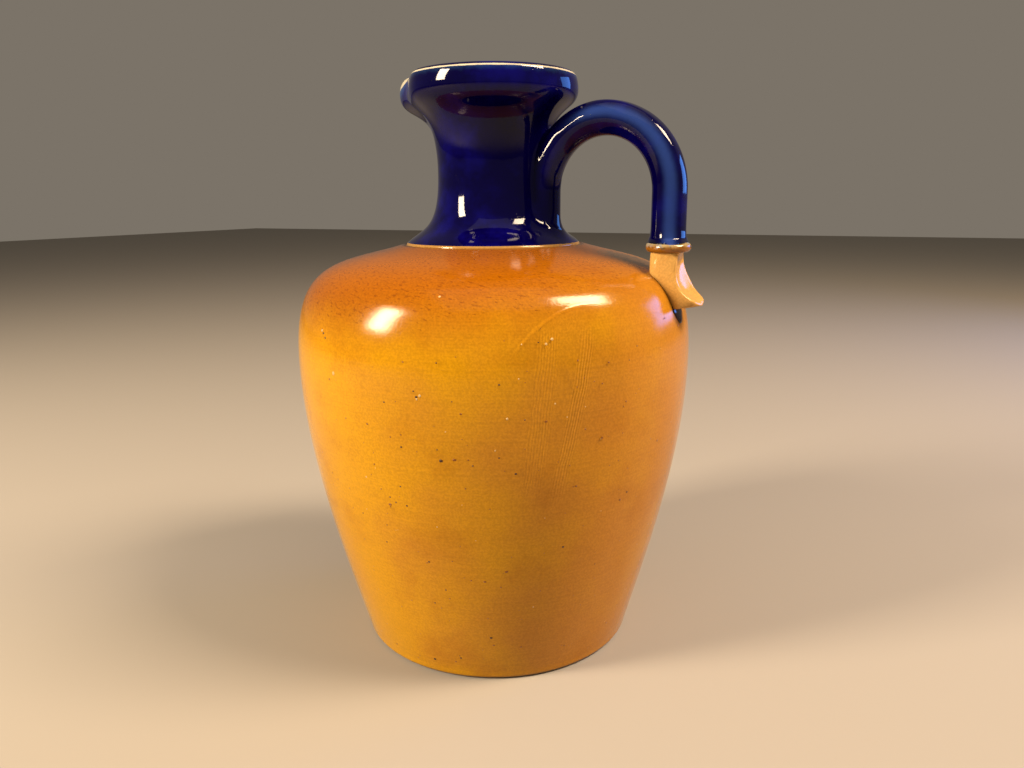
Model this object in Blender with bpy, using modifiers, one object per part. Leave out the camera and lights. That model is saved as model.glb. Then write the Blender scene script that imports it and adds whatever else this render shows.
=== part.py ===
"""Salt-glazed stoneware jug with a blue neck, a pulled spout and a loop handle.

Units are metres, +Z is up. The origin is the centre of the flat underside.
The handle points along +X and the spout along -X.
"""

import math

import bmesh
import bpy
from mathutils import Vector
from mathutils.geometry import interpolate_bezier

# Body, from the underside up to the seat where the neck was joined on
FOOT_RADIUS = 0.0478
FOOT_ROUND = 0.0020
FOOT_FLARE = math.radians(15.5)
BELLY_RADIUS = 0.0666
BELLY_HEIGHT = 0.0997
SEAT_HEIGHT = 0.1368
SEAT_RADIUS = 0.0287
SHOULDER_FALL = math.radians(17.0)
BODY_WALL = 0.0055
FLOOR_THICKNESS = 0.0065
FLOOR_CORNER = 0.0080

# How far each curve of the body keeps its direction, as shares of its height or width
SIDE_FULLNESS = 0.29
BELLY_FULLNESS = 0.333
SHOULDER_FULLNESS = 0.90
SEAT_FULLNESS = 0.59
CORNER_FULLNESS = 0.55

# The bare step under the blue glaze and the tooled groove beside it
STEP_HEIGHT = 0.0010
STEP_FLARE = 0.0006
GROOVE_WIDTH = 0.0009
GROOVE_DEPTH = 0.0004

# Neck and collar, above the seat
NECK_LENGTH = 0.0532
WAIST_RADIUS = 0.0182
WAIST_ABOVE_SEAT = 0.0228
NECK_FLARE = math.radians(40.0)
NECK_WALL = 0.0048
RIM_RADIUS = 0.0284
LIP_THICKNESS = 0.0044
LIP_LAND = 0.0008

# How far each curve of the neck keeps its direction, as shares of its height or width
FLARE_FULLNESS = 0.69
WAIST_FULLNESS = 0.81
THROAT_FULLNESS = 0.60
NECK_FULLNESS = 0.84
COLLAR_FULLNESS = 0.47
MOUTH_FULLNESS = 0.40

# Spout, pulled out of the collar by a finger between two that pinch it
SPOUT_REACH = 0.0074
SPOUT_DROOP = 0.0030
SPOUT_HALF_WIDTH = 0.0138
SPOUT_LENGTH = 0.0240
PINCH_DEPTH = 0.0013
PINCH_START = 0.4
PINCH_END = 2.1

# Handle: a round rod that rises beside the neck, loops over and lands on the shoulder
ROD_RADIUS = 0.00545
ROOT_STAND = 0.0006
LEG_RADIUS = 0.0605
LOOP_RISE = 0.0380
SPRING_RISE = 0.0158
BEAD_DROP = 0.0010
BEAD_STAND = 0.0016
BEAD_RADIUS = 0.0015
TAIL_LENGTH = 0.0187
TAIL_REACH = 0.0065
TAIL_WIDTH = 0.0112
TAIL_BURIAL = 0.0020
TAIL_STRAIGHT = 0.60
TAIL_CURL = 0.25
TIE = 0.0010

# How finely the curves are cut into flats
SEGMENTS = 48
SIDE_POINTS = 10
SHOULDER_POINTS = 11
NECK_POINTS = 9
COLLAR_POINTS = 12
ROUND_POINTS = 4
INNER_POINTS = 8
ROD_RESOLUTION = 6
ROD_TURNS = 18
BEAD_SEGMENTS = 20
BEAD_SIDES = 8
TAIL_SIDES = 16
TAIL_POINTS = 7

RIM_HEIGHT = SEAT_HEIGHT + NECK_LENGTH
WAIST_HEIGHT = SEAT_HEIGHT + WAIST_ABOVE_SEAT
BORE_RADIUS = WAIST_RADIUS - NECK_WALL
LIP_ROUND = LIP_THICKNESS / 2
LIP_HEIGHT = RIM_HEIGHT - LIP_ROUND
LIP_MIDDLE = RIM_RADIUS - LIP_ROUND
BEAD_HEIGHT = SEAT_HEIGHT - BEAD_DROP
MERGE = 1e-6

UP = math.pi / 2
DOWN = -math.pi / 2
INWARD = math.pi


def bezier(start, out_length, out_angle, end, in_length, in_angle, points):
    """Points (r, z) of a curve that leaves start and arrives at end along the given angles."""
    first = Vector((start[0], start[1], 0))
    last = Vector((end[0], end[1], 0))
    leave = first + out_length * Vector((math.cos(out_angle), math.sin(out_angle), 0))
    arrive = last - in_length * Vector((math.cos(in_angle), math.sin(in_angle), 0))
    curve = interpolate_bezier(first, leave, arrive, last, points)
    return [(point.x, point.y) for point in curve]


def arc(centre, radius, start_angle, end_angle, points):
    """Points (r, z) round a centre."""
    turns = [start_angle + (end_angle - start_angle) * i / (points - 1) for i in range(points)]
    return [(centre[0] + radius * math.cos(a), centre[1] + radius * math.sin(a)) for a in turns]


def join(*stretches):
    """One outline from stretches that end where the next one starts."""
    outline = list(stretches[0])
    for stretch in stretches[1:]:
        outline += [p for p in stretch if math.dist(p, outline[-1]) > MERGE]
    return outline


def body_side(inset, bottom, points):
    """The flaring side, from bottom up to the widest place, set in from the outer face by inset."""
    height = BELLY_HEIGHT - bottom
    return bezier(
        (FOOT_RADIUS - inset / math.cos(FOOT_FLARE), bottom),
        height * SIDE_FULLNESS,
        UP - FOOT_FLARE,
        (BELLY_RADIUS - inset, BELLY_HEIGHT),
        height * BELLY_FULLNESS,
        UP,
        points,
    )


def shoulder(inset, end, points):
    """The rounded shoulder, from the widest place in and up to end."""
    rise = SEAT_HEIGHT - BELLY_HEIGHT
    run = BELLY_RADIUS - SEAT_RADIUS
    return bezier(
        (BELLY_RADIUS - inset, BELLY_HEIGHT),
        rise * SHOULDER_FULLNESS - inset / 2,
        UP,
        end,
        run * SEAT_FULLNESS - inset / 2,
        INWARD - SHOULDER_FALL,
        points,
    )


def upper_neck(radius, lip_radius, fullness, points):
    """One face of the neck, from the waist up to where the lip starts to round over."""
    height = LIP_HEIGHT - WAIST_HEIGHT
    return bezier(
        (radius, WAIST_HEIGHT),
        height * NECK_FULLNESS,
        UP,
        (lip_radius, LIP_HEIGHT),
        height * fullness,
        UP,
        points,
    )


def outer_outline():
    """The outer face from the centre of the underside up to the top of the lip."""
    step_radius = SEAT_RADIUS + STEP_FLARE
    step_foot = SEAT_HEIGHT - STEP_HEIGHT
    groove_end = (step_radius + GROOVE_WIDTH, step_foot + GROOVE_DEPTH / 2)
    foot = arc((FOOT_RADIUS - FOOT_ROUND, FOOT_ROUND), FOOT_ROUND, DOWN, 0, ROUND_POINTS)
    side = body_side(0, FOOT_ROUND, SIDE_POINTS)
    top = shoulder(0, groove_end, SHOULDER_POINTS)
    groove = [(step_radius + GROOVE_WIDTH / 2, step_foot - GROOVE_DEPTH)]
    step = [(step_radius, step_foot), (SEAT_RADIUS, SEAT_HEIGHT)]
    neck = bezier(
        (SEAT_RADIUS, SEAT_HEIGHT),
        (SEAT_RADIUS - WAIST_RADIUS) * FLARE_FULLNESS,
        INWARD - NECK_FLARE,
        (WAIST_RADIUS, WAIST_HEIGHT),
        WAIST_ABOVE_SEAT * WAIST_FULLNESS,
        UP,
        NECK_POINTS,
    )
    collar = upper_neck(WAIST_RADIUS, RIM_RADIUS, COLLAR_FULLNESS, COLLAR_POINTS)
    crown = arc((LIP_MIDDLE, LIP_HEIGHT), LIP_ROUND, 0, UP, ROUND_POINTS)
    land = [(LIP_MIDDLE + LIP_LAND / 2, RIM_HEIGHT)]
    return join([(0, 0)], foot, side, top, groove, step, neck, collar, crown[:-1], land)


def cavity_outline():
    """The inner face from the centre of the floor up through the bore and out over the lip."""
    side = body_side(BODY_WALL, FLOOR_THICKNESS + FLOOR_CORNER, INNER_POINTS)
    floor = bezier(
        (side[0][0] - FLOOR_CORNER, FLOOR_THICKNESS),
        FLOOR_CORNER * CORNER_FULLNESS,
        0,
        side[0],
        FLOOR_CORNER * CORNER_FULLNESS,
        UP - FOOT_FLARE,
        ROUND_POINTS,
    )
    under_seat = (SEAT_RADIUS - BODY_WALL / 2, SEAT_HEIGHT - STEP_HEIGHT - BODY_WALL)
    top = shoulder(BODY_WALL, under_seat, INNER_POINTS)
    throat_height = (SEAT_HEIGHT + WAIST_HEIGHT) / 2
    throat = bezier(
        under_seat,
        (under_seat[0] - BORE_RADIUS) * THROAT_FULLNESS,
        INWARD - SHOULDER_FALL,
        (BORE_RADIUS, throat_height),
        (throat_height - under_seat[1]) * THROAT_FULLNESS,
        UP,
        INNER_POINTS,
    )
    mouth = upper_neck(BORE_RADIUS, RIM_RADIUS - LIP_THICKNESS, MOUTH_FULLNESS, INNER_POINTS)
    crown = arc((LIP_MIDDLE, LIP_HEIGHT), LIP_ROUND, INWARD, UP, ROUND_POINTS)
    land_radius = LIP_MIDDLE - LIP_LAND / 2
    above = RIM_HEIGHT + LIP_THICKNESS
    way_out = [(land_radius, RIM_HEIGHT), (land_radius, above), (0, above)]
    return join([(0, FLOOR_THICKNESS)], floor, side, top, throat, mouth, crown[:-1], way_out)


def radius_at(outline, height):
    """The outer radius of the body at a height, between the belly and the seat."""
    upper = [p for p in outline if BELLY_HEIGHT <= p[1] <= SEAT_HEIGHT and p[0] >= SEAT_RADIUS]
    for (r0, z0), (r1, z1) in zip(upper, upper[1:]):
        if z0 <= height <= z1:
            return r0 + (r1 - r0) * (height - z0) / (z1 - z0)
    return SEAT_RADIUS


def link(obj, collection):
    """Puts an object in one collection and returns it."""
    collection.objects.link(obj)
    return obj


def baked(obj, name):
    """The object with its modifiers or its curve applied, as a plain mesh under the given name."""
    bpy.context.view_layer.update()
    depsgraph = bpy.context.evaluated_depsgraph_get()
    mesh = bpy.data.meshes.new_from_object(obj.evaluated_get(depsgraph))
    mesh.name = name
    bm = bmesh.new()
    bm.from_mesh(mesh)
    bmesh.ops.remove_doubles(bm, verts=bm.verts, dist=MERGE)
    bm.to_mesh(mesh)
    bm.free()
    place = obj.matrix_world.copy()
    home = obj.users_collection[0]
    bpy.data.objects.remove(obj)
    copy = link(bpy.data.objects.new(name, mesh), home)
    copy.matrix_world = place
    return copy


def turned(name, outline, collection):
    """A solid of revolution. The outline comes from its foot up and is turned from its top down."""
    mesh = bpy.data.meshes.new(name + "_profile")
    points = [(r, 0, z) for r, z in reversed(outline)]
    if points[0][0] > 0:
        points.insert(0, (0, 0, points[0][2]))
    mesh.from_pydata(points, [(i, i + 1) for i in range(len(points) - 1)], [])
    obj = link(bpy.data.objects.new(name, mesh), collection)
    screw = obj.modifiers.new("Turn", "SCREW")
    screw.steps = SEGMENTS
    screw.render_steps = SEGMENTS
    screw.use_merge_vertices = True
    screw.merge_threshold = MERGE
    return baked(obj, name)


def pull_spout(obj):
    """Draws the collar out towards -X and pinches it beside the spout, fading down into the neck."""
    half_angle = SPOUT_HALF_WIDTH / RIM_RADIUS
    start = RIM_HEIGHT - SPOUT_LENGTH
    for vertex in obj.data.vertices:
        x, y, z = vertex.co
        radius = math.hypot(x, y)
        share = abs(math.atan2(y, -x)) / half_angle
        if share >= PINCH_END or z <= start or radius < BORE_RADIUS / 2:
            continue
        climb = min((z - start) / SPOUT_LENGTH, 1)
        rise = climb * climb * (3 - 2 * climb)
        side = math.cos(min(share, 1) * math.pi / 2) ** 2
        pinch = math.sin(max(share - PINCH_START, 0) / (PINCH_END - PINCH_START) * math.pi) ** 2
        shrink = 1 - PINCH_DEPTH * pinch * rise / radius
        vertex.co.x = x * shrink - SPOUT_REACH * side * rise
        vertex.co.y = y * shrink
        vertex.co.z -= SPOUT_DROOP * side * rise * climb


def rod_route():
    """Points (x, z) of the rod's middle, from the neck's foot over the loop down to the bead."""
    root_x = WAIST_RADIUS + ROOT_STAND
    spring = SEAT_HEIGHT + SPRING_RISE
    middle = (root_x + LEG_RADIUS) / 2
    half = (LEG_RADIUS - root_x) / 2
    rise = LOOP_RISE - SPRING_RISE
    root = [(root_x, SEAT_HEIGHT + STEP_HEIGHT), (root_x, (SEAT_HEIGHT + spring) / 2)]
    turns = [math.pi * i / ROD_TURNS for i in range(ROD_TURNS + 1)]
    loop = [(middle - half * math.cos(a), spring + rise * math.sin(a)) for a in turns]
    leg_end = BEAD_HEIGHT - TIE
    leg = [(LEG_RADIUS, (spring + leg_end) / 2), (LEG_RADIUS, leg_end)]
    return root + loop + leg


def make_rod(collection):
    """The round rod as a curve with a bevel, made a mesh."""
    curve = bpy.data.curves.new("rod", "CURVE")
    curve.dimensions = "3D"
    curve.bevel_depth = ROD_RADIUS
    curve.bevel_resolution = ROD_RESOLUTION
    curve.use_fill_caps = True
    route = rod_route()
    spline = curve.splines.new("POLY")
    spline.points.add(len(route) - 1)
    for point, (x, z) in zip(spline.points, route):
        point.co = (x, 0, z, 1)
    return baked(link(bpy.data.objects.new("rod", curve), collection), "rod")


def make_bead(collection):
    """The ring of clay and glaze where the blue rod ends."""
    bpy.ops.mesh.primitive_torus_add(
        major_segments=BEAD_SEGMENTS,
        minor_segments=BEAD_SIDES,
        major_radius=ROD_RADIUS + BEAD_STAND - BEAD_RADIUS,
        minor_radius=BEAD_RADIUS,
        location=(LEG_RADIUS, 0, BEAD_HEIGHT),
    )
    bead = bpy.context.object
    bead.name = "bead"
    for home in bead.users_collection:
        home.objects.unlink(bead)
    return link(bead, collection)


def tail_sections(outline):
    """(inner x, outer x, half width, z) of the tail's cuts, from inside the bead to its lip."""
    inner = LEG_RADIUS - ROD_RADIUS
    outer = LEG_RADIUS + ROD_RADIUS
    front = bezier(
        (outer, BEAD_HEIGHT),
        TAIL_LENGTH * TAIL_STRAIGHT,
        DOWN,
        (outer + TAIL_REACH, BEAD_HEIGHT - TAIL_LENGTH),
        TAIL_LENGTH * TAIL_CURL,
        DOWN,
        TAIL_POINTS,
    )
    sections = [(inner + TIE, outer - TIE, ROD_RADIUS - TIE, BEAD_HEIGHT + TIE)]
    for x, z in front:
        share = (BEAD_HEIGHT - z) / TAIL_LENGTH
        back = max(inner, radius_at(outline, z) - TAIL_BURIAL)
        half_width = ROD_RADIUS + (TAIL_WIDTH / 2 - ROD_RADIUS) * share
        sections.append((back, x, half_width, z))
    return sections


def make_tail(outline, collection):
    """The tail below the bead: it bends out, is pressed on the shoulder and is cut level below."""
    bm = bmesh.new()
    for inner, outer, half_width, z in tail_sections(outline):
        ring = bmesh.ops.create_circle(bm, segments=TAIL_SIDES, radius=1)["verts"]
        bmesh.ops.scale(bm, verts=ring, vec=((outer - inner) / 2, half_width, 1))
        bmesh.ops.translate(bm, verts=ring, vec=((outer + inner) / 2, 0, z))
    bmesh.ops.bridge_loops(bm, edges=bm.edges)
    bmesh.ops.holes_fill(bm, edges=bm.edges, sides=TAIL_SIDES)
    bmesh.ops.recalc_face_normals(bm, faces=bm.faces)
    mesh = bpy.data.meshes.new("tail")
    bm.to_mesh(mesh)
    bm.free()
    return link(bpy.data.objects.new("tail", mesh), collection)


def add_boolean(obj, operation, other):
    """Joins or cuts obj with another closed mesh."""
    modifier = obj.modifiers.new(operation.title() + " " + other.name, "BOOLEAN")
    modifier.operation = operation
    modifier.solver = "EXACT"
    modifier.object = other


def hide_tool(obj):
    """Marks an object as a helper that isn't part of the jug."""
    obj.hide_render = True
    obj.display_type = "WIRE"
    return obj


def stoneware():
    """Tan salt-glazed stoneware."""
    material = bpy.data.materials.new("salt_glazed_stoneware")
    material.use_nodes = True
    shader = material.node_tree.nodes["Principled BSDF"]
    shader.inputs["Base Color"].default_value = (0.50, 0.22, 0.055, 1)
    shader.inputs["Roughness"].default_value = 0.28
    shader.inputs["Metallic"].default_value = 0.0
    return material


def main():
    for obj in list(bpy.data.objects):
        bpy.data.objects.remove(obj)
    parts = bpy.data.collections.new("stoneware_jug")
    tools = bpy.data.collections.new("tools")
    bpy.context.scene.collection.children.link(parts)
    bpy.context.scene.collection.children.link(tools)

    outline = outer_outline()
    jug = turned("jug", outline, parts)
    pull_spout(jug)
    jug.data.materials.append(stoneware())

    cavity = hide_tool(turned("cavity", cavity_outline(), tools))
    pull_spout(cavity)
    for piece in (make_rod(tools), make_bead(tools), make_tail(outline, tools)):
        add_boolean(jug, "UNION", hide_tool(piece))
    add_boolean(jug, "DIFFERENCE", cavity)
    jug.data.shade_smooth()


main()
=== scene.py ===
"""Looks of a salt-glazed stoneware jug with a cobalt neck, a pulled spout and a loop handle.

The vessel, the handle's loop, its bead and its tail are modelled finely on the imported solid.
Units are metres. The origin is the centre of the flat underside, +X points to the handle,
-X to the spout and +Z up.
"""

import logging
import math
import random
from collections.abc import Callable, Sequence
from dataclasses import dataclass
from enum import Enum
from functools import partial

import bmesh
import bpy
import numpy as np
from mathutils import Matrix, Quaternion, Vector
from mathutils.geometry import interpolate_bezier

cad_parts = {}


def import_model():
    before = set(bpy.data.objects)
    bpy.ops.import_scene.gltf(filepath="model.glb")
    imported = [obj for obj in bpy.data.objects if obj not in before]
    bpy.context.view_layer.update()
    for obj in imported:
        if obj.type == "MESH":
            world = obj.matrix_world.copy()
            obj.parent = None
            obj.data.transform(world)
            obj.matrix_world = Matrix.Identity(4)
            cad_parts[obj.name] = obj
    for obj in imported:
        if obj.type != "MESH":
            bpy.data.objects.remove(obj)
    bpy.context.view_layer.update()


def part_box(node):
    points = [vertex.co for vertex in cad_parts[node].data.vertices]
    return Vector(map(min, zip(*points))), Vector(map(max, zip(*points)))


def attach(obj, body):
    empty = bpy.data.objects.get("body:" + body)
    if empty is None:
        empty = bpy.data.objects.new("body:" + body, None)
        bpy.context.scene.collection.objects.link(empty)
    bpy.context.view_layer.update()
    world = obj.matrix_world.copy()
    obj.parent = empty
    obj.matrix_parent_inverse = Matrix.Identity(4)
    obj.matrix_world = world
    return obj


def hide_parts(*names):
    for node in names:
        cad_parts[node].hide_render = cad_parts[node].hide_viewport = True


LOG = logging.getLogger("stoneware_jug")
MM = 0.001
MERGE = 1e-6
UP = math.pi / 2
DOWN = -math.pi / 2
INWARD = math.pi
NODE = "jug"
ALONG = "along"
RIDGE = "ridge"
TAIL_COLOURS = {
    "golden": "bc9350",
    "tan": "b88c48",
    "ochre": "b07c34",
    "wash": "ba9050",
    "crown": "ba9050",
    "streak": "a87434",
    "smoke": "b88c48",
    "ash": "bc9350",
}

Outline = list[tuple[float, float]]
BMesh = bmesh.types.BMesh
Material = bpy.types.Material
Object = bpy.types.Object
Socket = bpy.types.NodeSocket
Value = float | tuple[float, ...] | Socket


class Skin(Enum):
    """What a face of the vessel is covered with, by its material slot."""

    SALT_GLAZE = 0
    COBALT = 1
    INSIDE = 2
    UNDERSIDE = 3


def linear(hex_colour: str, alpha: float = 1.0) -> tuple[float, float, float, float]:
    """Turns an sRGB hex colour into linear light.

    Args:
        hex_colour: The colour as six hex digits.
        alpha: The fourth value of the result.

    Returns:
        Red, green and blue in linear light, and alpha.
    """
    shares = [int(hex_colour[i : i + 2], 16) / 255 for i in (0, 2, 4)]
    red, green, blue = [c / 12.92 if c <= 0.04045 else ((c + 0.055) / 1.055) ** 2.4 for c in shares]
    return red, green, blue, alpha


def smoothstep(low: float, high: float, value: float) -> float:
    """A share from 0 at low to 1 at high, with a soft start and end."""
    share = min(max((value - low) / (high - low), 0.0), 1.0)
    return share * share * (3 - 2 * share)


def bezier(
    start: tuple[float, float],
    out: tuple[float, float],
    end: tuple[float, float],
    into: tuple[float, float],
    points: int,
) -> Outline:
    """Points (r, z) of a curve between two places.

    Args:
        start: Where the curve starts.
        out: Length and angle of the handle it leaves start by.
        end: Where the curve ends.
        into: Length and angle of the handle it reaches end by.
        points: How many points it gets.

    Returns:
        The points, both ends included.
    """
    first = Vector((*start, 0))
    last = Vector((*end, 0))
    leave = first + out[0] * Vector((math.cos(out[1]), math.sin(out[1]), 0))
    arrive = last - into[0] * Vector((math.cos(into[1]), math.sin(into[1]), 0))
    return [(p.x, p.y) for p in interpolate_bezier(first, leave, arrive, last, points)]


def arc(centre: tuple[float, float], radius: float, start: float, end: float, points: int) -> Outline:
    """Points (r, z) round a centre, from one angle to another."""
    turns = [start + (end - start) * i / (points - 1) for i in range(points)]
    return [(centre[0] + radius * math.cos(a), centre[1] + radius * math.sin(a)) for a in turns]


def join(*stretches: Outline) -> Outline:
    """One outline from stretches that end where the next one starts."""
    outline = list(stretches[0])
    for stretch in stretches[1:]:
        outline += [p for p in stretch if math.dist(p, outline[-1]) > MERGE]
    return outline


def add_node(
    tree: bpy.types.NodeTree,
    kind: str,
    settings: dict[str, object] | None = None,
    inputs: dict[int | str, Value] | None = None,
    output: int | str = 0,
) -> Socket:
    """Adds a node with its settings and links.

    Args:
        tree: The node tree it goes into.
        kind: The node's type, without its ShaderNode prefix.
        settings: Attributes of the node, set before its inputs.
        inputs: Values or sockets for its inputs, by name or place.
        output: The name or place of the output that is wanted.

    Returns:
        The node's output.
    """
    node = tree.nodes.new("ShaderNode" + kind)
    for name, value in (settings or {}).items():
        setattr(node, name, value)
    for key, value in (inputs or {}).items():
        socket = node.inputs[key]
        if isinstance(value, Socket):
            tree.links.new(value, socket)
        else:
            socket.default_value = value
    return node.outputs[output]


def edges_of(verts: Sequence[bmesh.types.BMVert]) -> list[bmesh.types.BMEdge]:
    """The edges between points that belong together."""
    return list({edge for vert in verts for edge in vert.link_edges})


def points_of(bm: BMesh) -> np.ndarray:
    """One row (x, y, z) for each point of a mesh."""
    return np.array([vert.co for vert in bm.verts])


def move_to(bm: BMesh, points: np.ndarray) -> None:
    """Moves each point of a mesh to its row's place."""
    for vert, point in zip(bm.verts, points):
        vert.co = point


def spin(bm: BMesh, section: Sequence[object], angle: float, steps: int) -> None:
    """Turns a section round the upright axis, and closes it where it comes all the way round."""
    middle, axis, whole = (0, 0, 0), (0, 0, 1), angle > 2 * math.pi - MERGE
    bmesh.ops.spin(bm, geom=section, cent=middle, axis=axis, angle=angle, steps=steps, use_merge=whole)


def to_object(bm: BMesh, name: str, materials: Sequence[Material]) -> Object:
    """Turns a bmesh into a smooth-shaded object at the origin.

    Args:
        bm: The mesh, which is freed.
        name: The object's name.
        materials: Its material slots, in order.

    Returns:
        The object, linked to the scene.
    """
    bmesh.ops.remove_doubles(bm, verts=bm.verts, dist=MERGE)
    bmesh.ops.recalc_face_normals(bm, faces=bm.faces)
    for face in bm.faces:
        face.smooth = True
    mesh = bpy.data.meshes.new(name)
    bm.to_mesh(mesh)
    bm.free()
    for material in materials:
        mesh.materials.append(material)
    obj = bpy.data.objects.new(name, mesh)
    bpy.context.scene.collection.objects.link(obj)
    return obj


def loft(bm: BMesh, rings: Sequence[Sequence[Vector]]) -> None:
    """Skins a row of rings that all have the same number of points, and closes both ends.

    Args:
        bm: The mesh that gets the skin.
        rings: The points of each ring, in the same order round it.
    """
    last = None
    for points in rings:
        made = bmesh.ops.create_circle(bm, segments=len(points), radius=1)
        for vert, point in zip(made["verts"], points):
            vert.co = point
        edges = edges_of(made["verts"])
        if last is not None:
            bmesh.ops.bridge_loops(bm, edges=last + edges)
        last = edges
    bmesh.ops.holes_fill(bm, edges=bm.edges, sides=len(rings[0]))


@dataclass(frozen=True)
class Rod:
    """The round rod that the handle is bent from, and the route of its middle."""

    radius: float = 5.45 * MM
    root_x: float = 18.8 * MM
    leg_x: float = 60.5 * MM
    root_z: float = 137.8 * MM
    spring_z: float = 152.6 * MM
    crown_z: float = 174.8 * MM
    leg_end_z: float = 135.3 * MM
    flare: float = 0.9 * MM
    flare_height: float = 1.1 * MM
    bead_top_z: float = 137.4 * MM

    def route(self, loop_points: int = 72, straight_points: int = 9) -> list[Vector]:
        """The middle of the rod from the neck's foot over the loop down into the bead."""
        middle = (self.root_x + self.leg_x) / 2
        half = (self.leg_x - self.root_x) / 2
        rise = self.crown_z - self.spring_z
        shares = [i / straight_points for i in range(straight_points)]
        root = [(self.root_x, self.root_z + (self.spring_z - self.root_z) * s) for s in shares]
        turns = [math.pi * i / loop_points for i in range(loop_points + 1)]
        loop = [(middle - half * math.cos(a), self.spring_z + rise * math.sin(a)) for a in turns]
        leg = [(self.leg_x, self.spring_z + (self.leg_end_z - self.spring_z) * s) for s in shares[1:]]
        bottom = [(self.leg_x, self.bead_top_z), (self.leg_x, self.leg_end_z)]
        return [Vector((x, 0, z)) for x, z in root + loop + leg + bottom]

    def distance(self, points: np.ndarray) -> np.ndarray:
        """How far points lie outside the rod's skin.

        Args:
            points: One row (x, y, z) for each point.

        Returns:
            The distances, negative inside the rod.
        """
        route = np.array(self.route())
        best = np.full(len(points), np.inf)
        for start, end in zip(route[:-1], route[1:]):
            side = end - start
            share = np.clip((points - start) @ side / (side @ side), 0, 1)
            best = np.minimum(best, np.linalg.norm(points - start - share[:, None] * side, axis=1))
        return best - self.radius


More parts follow.
